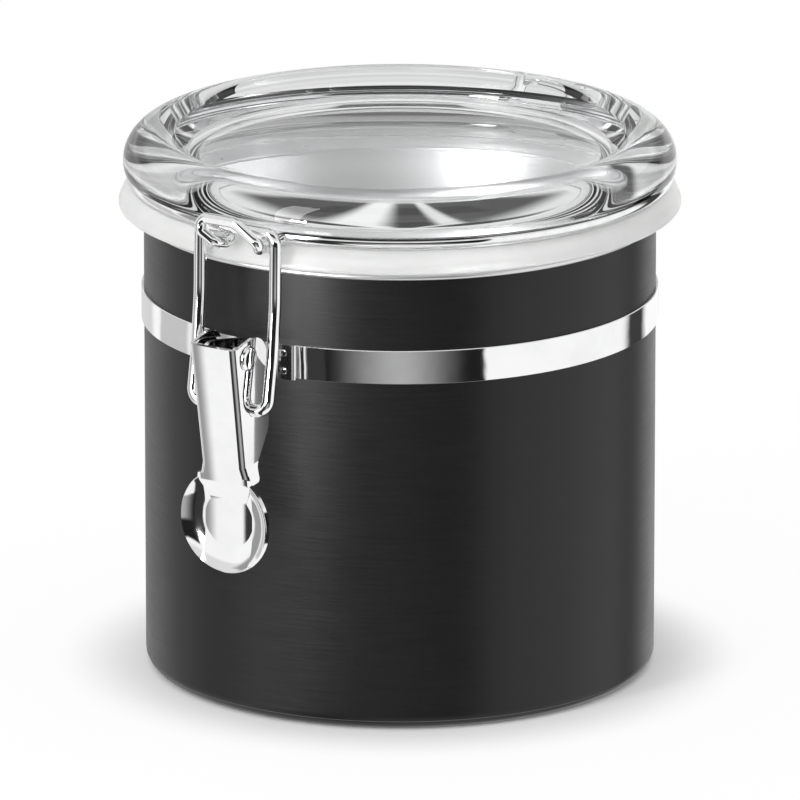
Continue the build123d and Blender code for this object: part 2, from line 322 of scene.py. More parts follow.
@dataclass(frozen=True)
class MattCoat(Finish):
    """Matt black coat outside, bare steel inside and on the curled mouth."""

    name: str = "matt_coat"
    coat: Colour = (0.0065, 0.0065, 0.0068)
    coat_roughness: float = 0.36
    steel: Colour = (0.74, 0.74, 0.745)
    steel_roughness: float = 0.36
    inner_radius: float = 58.6 * MM
    wall_radius: float = 58.9 * MM
    curl_foot: float = 106.0 * MM
    mouth_height: float = 107.25 * MM
    grain_scale: float = 2600.0
    grain_depth: float = 0.02 * MM
    cloud_scale: float = 70.0
    specular: float = 0.34

    def fill(self, tree: Tree) -> bpy.types.NodeSocket:
        """Writes the tree and returns its shader."""
        place = tree.place()
        x, y, z = tree.parts_of(place)
        radius = (x * x + y * y) ** 0.5
        facing = tree.parts_of(tree.node("ShaderNodeNewGeometry").outputs["Normal"])[2]
        edge = 0.05 * MM
        inside = radius.ramp(self.inner_radius + edge, self.inner_radius - edge)
        above = z.ramp(2.0 * MM, 2.2 * MM)
        floor = facing.ramp(0.4, 0.6) * inside
        curl = radius.ramp(self.wall_radius + edge, self.wall_radius + 3.0 * edge)
        curl = curl * z.ramp(self.curl_foot - edge, self.curl_foot + edge)
        mouth = z.ramp(self.mouth_height - edge, self.mouth_height + edge)
        bare = (inside * above).highest(floor).highest(curl).highest(mouth)
        grain = tree.noise(place, self.grain_scale, 3.0, 0.6)
        clouds = tree.noise(place, self.cloud_scale, 3.0, 0.55)
        rings = tree.noise(tree.vector(x * 4.0, y * 4.0, z * 900.0), 1.0, 2.0, 0.5)
        streaks = tree.noise(tree.vector(x * 90.0, y * 90.0, z * 2600.0), 1.0, 3.0, 0.6)
        mottle = (grain * 0.5 + streaks * 0.5 - 0.3) * 2.0
        tint = tree.mix(mottle, tuple(0.6 * c for c in self.coat), tuple(1.5 * c for c in self.coat))
        colour = tree.mix(bare, tint, self.steel)
        rough_coat = self.coat_roughness + (clouds - 0.5) * 0.08 + (streaks - 0.5) * 0.14
        rough_steel = self.steel_roughness + (rings - 0.5) * 0.10
        roughness = rough_coat + (rough_steel - rough_coat) * bare
        height = (grain * 0.6 + streaks * 0.6) * (1.0 - bare) + rings * bare * 0.25
        inputs = {
            "Base Color": colour,
            "Metallic": bare,
            "Roughness": roughness,
            "Specular IOR Level": self.specular,
            "Normal": tree.bump(height, self.grain_depth, 0.6),
        }
        return tree.node("ShaderNodeBsdfPrincipled", None, inputs).outputs[0]


@dataclass(frozen=True)
class PolishedSteel(Finish):
    """Mirror-polished stainless steel with faint smears and hairline scratches."""

    name: str
    tint: Colour = (0.90, 0.90, 0.905)
    roughness: float = 0.045
    smear: float = 0.05
    smear_scale: float = 90.0
    scratch_depth: float = 0.004 * MM
    dents: float = 0.0
    wall_lean: float = 0.0
    web_crown: float = 11.0
    web_edge: float = 6.4 * MM

    def fill(self, tree: Tree) -> bpy.types.NodeSocket:
        """Writes the tree and returns its shader."""
        place = tree.place()
        x, y, z = tree.parts_of(place)
        smears = tree.noise(place, self.smear_scale, 4.0, 0.6)
        lines = tree.noise(tree.vector(x * 3000.0, y * 700.0, z * 220.0), 1.0, 2.0, 0.6)
        fine = tree.noise(place, 1500.0, 2.0, 0.5)
        roughness = self.roughness + smears.ramp(0.5, 0.8) * self.smear + lines.ramp(0.62, 0.8) * 0.04
        colour = tree.mix(smears.ramp(0.35, 0.75), self.tint, tuple(0.94 * c for c in self.tint))
        normal = tree.bump(lines * 0.5 + fine * 0.5, self.scratch_depth, 0.35)
        if self.wall_lean > 0.0:
            form = y * self.wall_lean - abs(x).lowest(self.web_edge) ** 2.0 * self.web_crown
            normal = tree.bump(form, 1.0, 1.0, normal)
        if self.dents > 0.0:
            soft = tree.noise(place, 160.0, 1.0, 0.4)
            normal = tree.bump(soft, self.dents * MM, 1.0, normal)
        inputs = {"Base Color": colour, "Metallic": 1.0, "Roughness": roughness, "Normal": normal}
        return tree.node("ShaderNodeBsdfPrincipled", None, inputs).outputs[0]


@dataclass(frozen=True)
class DrawnWire(Finish):
    """Bright drawn stainless wire with faint die marks."""

    name: str
    tint: Colour = (0.90, 0.90, 0.905)
    roughness: float = 0.05
    mark_scale: float = 420.0
    mark_depth: float = 0.004 * MM

    def fill(self, tree: Tree) -> bpy.types.NodeSocket:
        """Writes the tree and returns its shader."""
        place = tree.place()
        marks = tree.noise(place, self.mark_scale, 3.0, 0.6)
        fine = tree.noise(place, 2400.0, 2.0, 0.5)
        inputs = {
            "Base Color": tree.mix(marks.ramp(0.35, 0.75), self.tint, tuple(0.93 * c for c in self.tint)),
            "Metallic": 1.0,
            "Roughness": self.roughness + marks.ramp(0.45, 0.8) * 0.05,
            "Normal": tree.bump(marks * 0.6 + fine * 0.4, self.mark_depth, 0.4),
        }
        return tree.node("ShaderNodeBsdfPrincipled", None, inputs).outputs[0]


@dataclass(frozen=True)
class ClearAcrylic(Finish):
    """Thick clear moulded acrylic with faint flow marks."""

    name: str = "clear_acrylic"
    tint: Colour = (0.985, 0.99, 0.992)
    lamp_tint: Colour = (0.93, 0.94, 0.94)
    refraction: float = 1.49
    flow_depth: float = 0.02 * MM

    def fill(self, tree: Tree) -> bpy.types.NodeSocket:
        """Writes the tree and returns its shader."""
        place = tree.place()
        flow = tree.noise(place, 60.0, 1.0, 0.4)
        inputs = {
            "Base Color": self.tint,
            "Roughness": 0.0,
            "IOR": self.refraction,
            "Transmission Weight": 1.0,
            "Normal": tree.bump(flow, self.flow_depth, 0.25),
        }
        solid = tree.node("ShaderNodeBsdfPrincipled", None, inputs)
        clear = tree.node("ShaderNodeBsdfTransparent", None, {"Color": self.lamp_tint})
        path = tree.node("ShaderNodeLightPath")
        lamps = Val(tree, path.outputs["Is Shadow Ray"]).highest(Val(tree, path.outputs["Is Diffuse Ray"]))
        inputs = {0: lamps, 1: solid.outputs[0], 2: clear.outputs[0]}
        return tree.node("ShaderNodeMixShader", None, inputs).outputs[0]


@dataclass(frozen=True)
class MilkySilicone(Finish):
    """Soft translucent silicone with a satin skin."""

    name: str = "milky_silicone"
    tint: Colour = (0.95, 0.95, 0.945)
    roughness: float = 0.30
    refraction: float = 1.41
    transmission: float = 0.45
    scatter: float = 0.35

    def fill(self, tree: Tree) -> bpy.types.NodeSocket:
        """Writes the tree and returns its shader."""
        place = tree.place()
        clouds = tree.noise(place, 120.0, 3.0, 0.5)
        skin = tree.noise(place, 2200.0, 2.0, 0.5)
        inputs = {
            "Base Color": tree.mix(clouds.ramp(0.3, 0.7), self.tint, tuple(0.96 * c for c in self.tint)),
            "Roughness": self.roughness + (clouds - 0.5) * 0.12,
            "IOR": self.refraction,
            "Transmission Weight": self.transmission,
            "Subsurface Weight": self.scatter,
            "Subsurface Radius": (2.0 * MM, 2.0 * MM, 1.8 * MM),
            "Subsurface Scale": 1.0,
            "Normal": tree.bump(skin, 0.01 * MM, 0.4),
        }
        return tree.node("ShaderNodeBsdfPrincipled", None, inputs).outputs[0]


def point(across: float, up: float) -> Vector:
    """A point of an outline, at a distance from the canister's axis and a height."""
    return Vector((across, 0.0, up))


def arc(centre: Vector, radius: float, start: float, end: float, steps: int) -> list[Corner]:
    """Points along an arc of an outline, ends included.

    Args:
        centre: the arc's centre.
        radius: its radius.
        start: degrees from outwards, towards up.
        end: degrees at the other end.
        steps: pieces that the arc is divided into.

    Returns:
        Corners with no rounding.
    """
    turns = [math.radians(start + (end - start) * k / steps) for k in range(steps + 1)]
    return [(centre + point(radius * math.cos(t), radius * math.sin(t)), 0.0) for t in turns]


def arc_through(first: Vector, middle: Vector, last: Vector, steps: int) -> list[Corner]:
    """Points along the arc of an outline through three points, ends included.

    Args:
        first: the start.
        middle: a point on the way.
        last: the end.
        steps: pieces that the arc is divided into.

    Returns:
        Corners with no rounding.
    """
    chord, side = last - first, middle - first
    twice = 2.0 * (chord.x * side.z - chord.z * side.x)
    far, near = chord.length_squared, side.length_squared
    offset = point((side.z * far - chord.z * near) / twice, (chord.x * near - side.x * far) / twice)
    centre = first + offset
    start = math.degrees(math.atan2(-offset.z, -offset.x))
    end = math.degrees(math.atan2((last - centre).z, (last - centre).x))
    end += 360.0 * round((start - end) / 360.0)
    return arc(centre, offset.length, start, end, steps)


def rounded(corners: Sequence[Corner], steps: int = 6) -> list[Vector]:
    """Rounds the corners of an open run of points.

    Args:
        corners: each point with the radius of the bend there.
        steps: pieces that each bend is divided into.

    Returns:
        The run's points with each bend laid out.
    """
    points = [corners[0][0]]
    for (before, _), (corner, radius), (after, _) in zip(corners, corners[1:], corners[2:]):
        arrive, leave = (corner - before).normalized(), (after - corner).normalized()
        bend = arrive.angle(leave, 0.0)
        if radius <= 0.0 or bend < 0.01:
            points.append(corner)
            continue
        reach = radius * math.tan(bend / 2.0)
        inward = (leave - arrive).normalized()
        centre = corner + inward * (radius / math.cos(bend / 2.0))
        spoke = corner - arrive * reach - centre
        for k in range(steps + 1):
            share = bend * k / steps
            points.append(centre + spoke * math.cos(share) + arrive * (radius * math.sin(share)))
    points.append(corners[-1][0])
    return points


def guide(name: str, points: Sequence[Vector], closed: bool = False) -> bpy.types.Mesh:
    """A mesh of points in millimetres and the edges between them, for a tree to work on.

    Args:
        name: the mesh's name.
        points: the points in order.
        closed: joins the last point to the first.

    Returns:
        The mesh, in metres.
    """
    mesh = bpy.data.meshes.new(name)
    edges = [(k, k + 1) for k in range(len(points) - 1)]
    if closed:
        edges.append((len(points) - 1, 0))
    mesh.from_pydata([p * MM for p in points], edges, [])
    return mesh


class Former:
    """A Geometry Nodes tree that turns a guide of points and edges into a finished piece."""

    crease: float = math.radians(34.0)

    def __init__(self, name: str, knobs: Mapping[str, tuple[str, float]]) -> None:
        """Starts the tree with its named inputs.

        Args:
            name: the tree's name.
            knobs: socket type and first value of each named input besides the guide and the finish.
        """
        self.group = bpy.data.node_groups.new(name, "GeometryNodeTree")
        self.tree = Tree(self.group)
        face = self.group.interface
        face.new_socket("Guide", in_out="INPUT", socket_type="NodeSocketGeometry")
        for label, (kind, value) in knobs.items():
            face.new_socket(label, in_out="INPUT", socket_type=kind).default_value = value
        face.new_socket("Finish", in_out="INPUT", socket_type="NodeSocketMaterial")
        face.new_socket("Piece", in_out="OUTPUT", socket_type="NodeSocketGeometry")
        self.entry = self.tree.node("NodeGroupInput")

    def knob(self, label: str) -> bpy.types.NodeSocket:
        """One of the tree's inputs, by its name."""
        return self.entry.outputs[label]

    def close(self, geometry: bpy.types.NodeSocket) -> None:
        """Ends the tree with real, smooth geometry that carries the finish and keeps its creases.

        Args:
            geometry: the geometry that the tree has made.
        """
        tree = self.tree
        real = tree.node("GeometryNodeRealizeInstances", None, {0: geometry})
        smooth = tree.node("GeometryNodeSetShadeSmooth", {"domain": "FACE"}, {0: real.outputs[0]})
        bend = tree.number("GeometryNodeInputMeshEdgeAngle", output="Unsigned Angle")
        sharp = tree.node("FunctionNodeCompare", {"operation": "GREATER_THAN"}, {0: bend, 1: self.crease})
        inputs = {0: smooth.outputs[0], "Selection": sharp.outputs[0], "Shade Smooth": False}
        creased = tree.node("GeometryNodeSetShadeSmooth", {"domain": "EDGE"}, inputs)
        inputs = {"Geometry": creased.outputs[0], "Material": self.knob("Finish")}
        dressed = tree.node("GeometryNodeSetMaterial", None, inputs)
        tree.node("NodeGroupOutput", None, {0: dressed.outputs[0]})

    def make(
        self, name: str, guide_mesh: bpy.types.Mesh, finish: Finish, **values: float
    ) -> bpy.types.Object:
        """Runs the tree on a guide and keeps the result as a plain mesh.

        Args:
            name: the piece's name.
            guide_mesh: the guide's points and edges.
            finish: the piece's finish.
            values: inputs by name, in small letters, with underscores for spaces.

        Returns:
            The finished piece, with no modifier left on it.
        """
        piece = bpy.data.objects.new(name, guide_mesh)
        bpy.context.scene.collection.objects.link(piece)
        worked = piece.modifiers.new("former", "NODES")
        worked.node_group = self.group
        wanted: dict[str, object] = {**values, "finish": finish.material()}
        for item in self.group.interface.items_tree:
            label = item.name.lower().replace(" ", "_")
            if item.in_out == "INPUT" and label in wanted:
                worked[item.identifier] = wanted[label]
        ready = piece.evaluated_get(bpy.context.evaluated_depsgraph_get())
        mesh = bpy.data.meshes.new_from_object(ready)
        mesh.name = name
        piece.modifiers.clear()
        piece.data = mesh
        bpy.data.meshes.remove(guide_mesh)
        log.info("%s: %d faces", name, len(mesh.polygons))
        return piece


class Turner(Former):
    """Turns an outline about the canister's axis. The outline runs upwards on its outer side."""

    def __init__(self) -> None:
        """Builds the tree: a grid whose rows take their places from the outline's points."""
        super().__init__("turned_piece", {"Steps": ("NodeSocketInt", 240)})
        tree = self.tree
        outline = self.knob("Guide")
        rows = tree.number("GeometryNodeAttributeDomainSize", None, {0: outline}, "Point Count")
        columns = Val(tree, self.knob("Steps")) + 1.0
        sizes = {"Size X": 1.0, "Size Y": 1.0, "Vertices X": columns, "Vertices Y": rows}
        grid = tree.node("GeometryNodeMeshGrid", None, sizes)
        here = tree.node("GeometryNodeInputPosition").outputs[0]
        across, up, _ = tree.parts_of(here)
        angle = (across + 0.5) * math.tau
        row = tree.number("ShaderNodeMath", {"operation": "ROUND"}, {0: (up + 0.5) * (rows - 1.0)})
        inputs = {"Geometry": outline, "Value": here, "Index": row}
        found = tree.node("GeometryNodeSampleIndex", {"data_type": "FLOAT_VECTOR"}, inputs)
        radius, _, height = tree.parts_of(found.outputs[0])
        place = tree.vector(radius * angle.cosine(), radius * angle.sine(), height)
        inputs = {"Geometry": grid.outputs[0], "Position": place}
        moved = tree.node("GeometryNodeSetPosition", None, inputs)
        inputs = {0: moved.outputs[0], "Distance": 0.001 * MM}
        self.close(tree.node("GeometryNodeMergeByDistance", None, inputs).outputs[0])


class WireBender(Former):
    """Runs a round wire along a route."""

    def __init__(self) -> None:
        """Builds the tree: a circle swept along the route, with capped ends."""
        knobs = {"Wire radius": ("NodeSocketFloat", 1.3 * MM), "Sides": ("NodeSocketInt", 32)}
        super().__init__("bent_wire", knobs)
        tree = self.tree
        route = tree.node("GeometryNodeMeshToCurve", None, {0: self.knob("Guide")})
        inputs = {"Resolution": self.knob("Sides"), "Radius": self.knob("Wire radius")}
        section = tree.node("GeometryNodeCurvePrimitiveCircle", None, inputs)
        inputs = {"Curve": route.outputs[0], "Profile Curve": section.outputs[0], "Fill Caps": True}
        self.close(tree.node("GeometryNodeCurveToMesh", None, inputs).outputs[0])


class SpotWelder(Former):
    """Sets a low weld mark on each point of a guide that stands round the canister's axis."""

    def __init__(self) -> None:
        """Builds the tree: a flattened ball on each point, turned to face outwards."""
        knobs = {
            "Mark radius": ("NodeSocketFloat", 0.8 * MM),
            "Mark height": ("NodeSocketFloat", 0.07 * MM),
            "Seed": ("NodeSocketInt", 3),
        }
        super().__init__("spot_welds", knobs)
        tree = self.tree
        ball = tree.node("GeometryNodeMeshUVSphere", None, {"Segments": 20, "Rings": 12, "Radius": 1.0})
        x, y, _ = tree.parts_of(tree.node("GeometryNodeInputPosition").outputs[0])
        inputs = {"Vector": tree.vector(x, y, 0.0)}
        facing = tree.node("FunctionNodeAlignRotationToVector", {"axis": "Z"}, inputs)
        seed = {"Seed": self.knob("Seed")}
        uneven = tree.number("FunctionNodeRandomValue", {"data_type": "FLOAT"}, seed, 1)
        width = Val(tree, self.knob("Mark radius")) * (0.85 + uneven * 0.15)
        size = tree.vector(width, width, Val(tree, self.knob("Mark height")))
        inputs = {
            "Points": self.knob("Guide"),
            "Instance": ball.outputs[0],
            "Rotation": facing.outputs[0],
            "Scale": size,
        }
        self.close(tree.node("GeometryNodeInstanceOnPoints", None, inputs).outputs[0])


@dataclass(frozen=True)
class Card:
    """A soft-edged panel of the studio, seen only in reflections and through the clear lid.

    Angles are in degrees. The bearing is 0 towards the camera and grows to the picture's right.
    """

    level: float
    bearing: float
    half_width: float
    soft: float
    low: float = -90.0
    high: float = 90.0
    soft_height: float = 4.0


@dataclass(frozen=True)
class Camera:
    """The photograph's viewpoint: a long lens at a long distance."""

    bearing: float = 33.5
    reach: float = 2885.0 * MM
    height: float = 885.4 * MM
    aim_height: float = 61.6 * MM
    lens: float = 585.0
    sensor: float = 36.0

    def place(self) -> Vector:
        """Where the camera stands."""
        turn = math.radians(self.bearing)
        return Vector((self.reach * math.sin(turn), -self.reach * math.cos(turn), self.height))

    def build(self) -> None:
        """Makes the camera and sets it as the scene's."""
        data = bpy.data.cameras.new("camera")
        data.lens = self.lens
        data.sensor_width = self.sensor
        data.clip_end = 50.0
        camera = bpy.data.objects.new("camera", data)
        bpy.context.scene.collection.objects.link(camera)
        stand = self.place()
        aim = Vector((0.0, 0.0, self.aim_height)) - stand
        turn = aim.to_track_quat("-Z", "Y").to_matrix().to_4x4()
        camera.matrix_world = Matrix.Translation(stand) @ turn
        bpy.context.scene.camera = camera


@dataclass(frozen=True)
class Studio:
    """White floor, soft lamps and the panels that the steel and the lid reflect."""

    camera: Camera
    floor_radius: float = 9.0
    floor_tint: Colour = (0.94, 0.94, 0.94)
    # Painted shadow round the can's foot: between these two radii the floor's glow fades from its far share
    # to its near share.
    glow_in_painted_shadow: float = 0.06
    glow_clear_of_painted_shadow: float = 0.90
    painted_shadow_inner_radius: float = 60.5 * MM
    painted_shadow_outer_radius: float = 82.0 * MM
    # Painted shade seen through the lid: the floor's glow is dimmed there and broken into rings of noise.
    painted_dim_through_lid: float = 0.72
    painted_band_scale: float = 34.0
    painted_band_contrast: float = 0.9
    dome_level: float = 1.0
    base_level: float = 1.04
    cards: tuple[Card, ...] = (
        Card(0.80, 0.0, 200.0, 2.0, low=20.0, high=90.0, soft_height=8.0),
        Card(0.08, 180.0, 26.0, 8.0, low=38.0, high=62.0, soft_height=10.0),
        Card(0.95, -175.2, 3.2, 3.5, low=36.0, high=64.0, soft_height=6.0),
        Card(0.80, 174.6, 1.3, 1.6, low=36.0, high=64.0, soft_height=6.0),
        Card(0.55, 180.0, 60.0, 30.0, low=8.0, high=18.0, soft_height=6.0),
        Card(0.72, -165.0, 20.0, 8.0, high=5.0),
        Card(0.60, -122.0, 13.0, 4.0, high=5.0),
        Card(0.35, -92.0, 13.0, 8.0, low=-30.0, high=30.0),
        Card(0.04, -43.0, 14.0, 3.0, high=4.0),
        Card(0.015, 2.0, 36.0, 2.0, low=-40.0, high=12.0),
        Card(0.04, 0.0, 42.0, 10.0, low=36.0, high=62.0, soft_height=8.0),
        Card(0.46, -1.0, 16.0, 34.0, low=-40.0, high=-11.0, soft_height=5.0),
        Card(0.05, 131.0, 9.0, 8.0, high=20.0),
    )

    def build(self) -> None:
        """Makes the floor, the world, the lamps and the camera."""
        self.camera.build()
        self.floor()
        self.world()
        self.lamps()
        bpy.context.scene.view_settings.view_transform = "Standard"

    def floor(self) -> None:
        """Round pale floor. It glows white away from the can and keeps the object's real shadow in its
        diffuse part. Round the can's foot its glow fades, a painted shadow; seen through the lid it is dimmed
        and banded, painted shade for the lid to refract.
        """
        mesh = bpy.data.meshes.new("floor")
        steps = 96
        rim = [
            (
                self.floor_radius * math.cos(math.tau * k / steps),
                self.floor_radius * math.sin(math.tau * k / steps),
                0.0,
            )
            for k in range(steps)
        ]
        mesh.from_pydata(rim, [], [tuple(range(steps))])
        made = bpy.data.objects.new("floor", mesh)
        bpy.context.scene.collection.objects.link(made)
        material = bpy.data.materials.new("pale_floor")
        material.use_nodes = True
        tree = Tree(material.node_tree)
        path = tree.node("ShaderNodeLightPath")
        seen = Val(tree, path.outputs["Is Camera Ray"]).highest(
            Val(tree, path.outputs["Is Transmission Ray"])
        )
        matt = tree.node("ShaderNodeBsdfDiffuse", None, {"Color": self.floor_tint})
        x, y, _ = tree.parts_of(tree.place())
        radius = (x * x + y * y) ** 0.5
        # Painted shade and painted dark lines for the lid to refract: transmission rays see the glow dimmed
        # and banded in rings about the axis.
        painted_bands = tree.noise(tree.vector(radius * self.painted_band_scale, 0.0, 0.0), 1.0, 2.0, 0.6)
        through = Val(tree, path.outputs["Is Transmission Ray"])
        level = 1.0 - through * (1.0 - self.painted_dim_through_lid - (painted_bands - 0.5) * self.painted_band_contrast)
        glow = tree.node("ShaderNodeEmission", None, {"Color": (1.0, 1.0, 1.0), "Strength": level})
        # Painted shadow: the glow's share falls towards the can's foot, whatever the lamps do.
        painted_shadow_fade = radius.ramp(self.painted_shadow_inner_radius, self.painted_shadow_outer_radius)
        share = self.glow_in_painted_shadow + painted_shadow_fade * (self.glow_clear_of_painted_shadow - self.glow_in_painted_shadow)
        inputs = {0: seen * share, 1: matt.outputs[0], 2: glow.outputs[0]}
        shader = tree.node("ShaderNodeMixShader", None, inputs)
        tree.node("ShaderNodeOutputMaterial", None, {"Surface": shader.outputs[0]})
        mesh.materials.append(material)
        made.visible_glossy = False

    def world(self) -> None:
        """Plain white dome for the light, and the panels for what is reflected or refracted."""
        world = bpy.data.worlds.new("studio")
        world.use_nodes = True
        bpy.context.scene.world = world
        tree = Tree(world.node_tree)
        away = tree.node("ShaderNodeTexCoord").outputs["Generated"]
        x, y, z = tree.parts_of(away)
        turn = math.radians(self.camera.bearing)
        towards = x * math.sin(turn) - y * math.cos(turn)
        across = x * math.cos(turn) + y * math.sin(turn)
        degrees = 180.0 / math.pi
        bearing = towards.bearing(across) * degrees
        height = z.arcsine() * degrees
        level: Val | float = self.base_level
        for card in self.cards:
            off = abs((bearing - card.bearing).wrapped(-180.0, 180.0))
            sides = off.ramp(card.half_width + card.soft / 2.0, card.half_width - card.soft / 2.0)
            soft = card.soft_height / 2.0
            rise = height.ramp(card.low - soft, card.low + soft)
            fall = height.ramp(card.high + soft, card.high - soft)
            mask = sides * rise * fall
            level = level + (card.level - level) * mask
        path = tree.node("ShaderNodeLightPath")
        mirrored = Val(tree, path.outputs["Is Glossy Ray"]).highest(
            Val(tree, path.outputs["Is Transmission Ray"])
        )
        seen = Val(tree, path.outputs["Is Camera Ray"])
        dome = self.dome_level + (1.0 - self.dome_level) * seen
        strength = dome + (level - dome) * mirrored
        inputs = {"Color": (1.0, 1.0, 1.0), "Strength": strength}
        background = tree.node("ShaderNodeBackground", None, inputs)
        tree.node("ShaderNodeOutputWorld", None, {"Surface": background.outputs[0]})

    def lamps(self) -> None:
        """Two strips to the left of the camera: a tall one, and a low one for the coat's highlight."""
        self.lamp("key_strip", bearing=-46.0, height=0.55, reach=1.3, width=0.28, tall=1.3, power=6.0)
        sheen = self.lamp(
            "sheen_strip", bearing=-41.0, height=0.065, reach=1.3, width=0.16, tall=0.10, power=13.0
        )
        sheen.data.use_shadow = False
        sheen.visible_diffuse = False
        sheen.visible_transmission = False

    def lamp(
        self, name: str, bearing: float, height: float, reach: float, width: float, tall: float, power: float
    ) -> bpy.types.Object:
        """One rectangular lamp that faces the object.

        Args:
            name: the lamp's name.
            bearing: degrees from the camera, to the picture's right.
            height: metres above the floor.
            reach: metres from the object.
            width: metres across.
            tall: metres along its upright side.
            power: watts.

        Returns:
            The lamp.
        """
        data = bpy.data.lights.new(name, "AREA")
        data.shape = "RECTANGLE"
        data.size = width
        data.size_y = tall
        data.energy = power
        made = bpy.data.objects.new(name, data)
        bpy.context.scene.collection.objects.link(made)
        turn = math.radians(self.camera.bearing + bearing)
        stand = Vector((reach * math.sin(turn), -reach * math.cos(turn), height))
        aim = Vector((0.0, 0.0, 0.06)) - stand
        made.matrix_world = Matrix.Translation(stand) @ aim.to_track_quat("-Z", "Y").to_matrix().to_4x4()
        made.visible_camera = False
        return made


@dataclass(frozen=True)
class CanisterBody:
    """Coated can with its band, its two brackets and their weld marks. Sizes are in millimetres."""

    radius: float = 58.9
    wall: float = 0.6
    top: float = 107.3
    foot_round: float = 3.4
    ring_inner: float = 41.5
    ring_outer: float = 48.5
    ring_height: float = 0.9
    curl_radius: float = 0.75
    curl_offset: float = 0.5
    plate_outer_radius: float = 60.58
    weld_heights: tuple[float, float] = (84.0, 88.2)
    front_weld_turn: float = 7.7
    rear_weld_turn: float = 6.3

    def build(self, nodes: Mapping[str, bpy.types.Object]) -> None:
        """Dresses the CAD nodes and sets the weld marks.

        Args:
            nodes: the frame's nodes by name.
        """
        can = Turner().make("coated_can", guide("can_outline", self.outline()), MattCoat(), steps=360)
        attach(can, "canister")
        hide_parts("can")
        dress(nodes, ["clamp_band"], PolishedSteel("polished_band", dents=0.06))
        sheet = PolishedSteel("polished_sheet")
        dress(nodes, ["front_bracket", "rear_bracket"], sheet)
        for name, middle, turn in (
            ("front_weld_marks", -90.0, self.front_weld_turn),
            ("rear_weld_marks", 90.0, self.rear_weld_turn),
        ):
            marks = SpotWelder().make(name, guide(name, self.weld_points(middle, turn)), sheet)
            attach(marks, "canister")

    def outline(self) -> list[Vector]:
        """Half section of the can, from under its base round the curled mouth to the floor inside."""
        curl = point(self.radius + self.curl_offset, self.top)
        foot = 180.0 + math.degrees(math.acos(self.curl_offset / self.curl_radius))
        slope, wall = self.ring_height, self.wall
        lap = wall * math.tan(math.radians(22.5))
        return rounded(
            [
                (point(0.0, 0.0), 0.0),
                (point(self.ring_inner, 0.0), 0.3),
                (point(self.ring_inner + slope, slope), 0.3),
                (point(self.ring_outer - slope, slope), 0.3),
                (point(self.ring_outer, 0.0), 0.3),
                (point(self.radius, 0.0), self.foot_round),
                *arc(curl, self.curl_radius, foot - 360.0, 180.0, 32),
                (point(self.radius - wall, self.top), 0.15),
                (point(self.radius - wall, wall), self.foot_round - wall),
                (point(self.ring_outer + lap, wall), 0.3),
                (point(self.ring_outer - slope + lap, wall + slope), 0.3),
                (point(self.ring_inner + slope - lap, wall + slope), 0.3),
                (point(self.ring_inner - lap, wall), 0.3),
                (point(0.0, wall), 0.0),
            ]
        )

    def weld_points(self, middle: float, turn: float) -> list[Vector]:
        """Places of a bracket's four weld marks.

        Args:
            middle: the bracket's bearing in degrees from +X.
            turn: degrees from the middle to each row.

        Returns:
            The points on the plate's outer face.
        """
        points = []
        for side in (-turn, turn):
            angle = math.radians(middle + side)
            for height in self.weld_heights:
                reach = self.plate_outer_radius
                points.append(Vector((reach * math.cos(angle), reach * math.sin(angle), height)))
        return points


@dataclass(frozen=True)
class LeverClamp:
    """Thumb lever, its rivet and the wire bail. Sizes are in millimetres."""

    wire_radius: float = 1.43
    hole: tuple[float, float] = (-69.7, 76.8)
    shin: tuple[float, float] = (-67.75, 88.5)
    knee: tuple[float, float] = (-66.5, 101.5)
    top: tuple[float, float] = (-66.2, 117.5)
    end_x: float = 4.3
    half_width: float = 10.25
    foot_bend: float = 2.9
    bow_bend: float = 60.0
    top_bend: float = 2.5

    def build(self, nodes: Mapping[str, bpy.types.Object]) -> None:
        """Dresses the lever and its rivet, and bends the bail.

        Args:
            nodes: the frame's nodes by name.
        """
        dress(nodes, ["lever"], PolishedSteel("polished_lever", wall_lean=0.17))
        dress(nodes, ["lever_pin"], PolishedSteel("rivet_steel"))
        route = guide("bail_wire", self.route())
        radius = self.wire_radius * MM
        bail = WireBender().make("bail_wire", route, DrawnWire("bail_steel"), wire_radius=radius)
        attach(bail, "bail")
        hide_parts("bail")

    def route(self) -> list[Vector]:
        """The bail's middle line, from one end in the lever's wall to the other."""
        half = [
            (Vector((self.end_x, *self.hole)), 0.0),
            (Vector((self.half_width, *self.hole)), self.foot_bend),
            (Vector((self.half_width, *self.shin)), self.bow_bend),
            (Vector((self.half_width, *self.knee)), self.bow_bend),
            (Vector((self.half_width, *self.top)), self.top_bend),
        ]
        other = [(Vector((-spot.x, spot.y, spot.z)), bend) for spot, bend in half]
        return rounded([*other, *reversed(half)], steps=10)


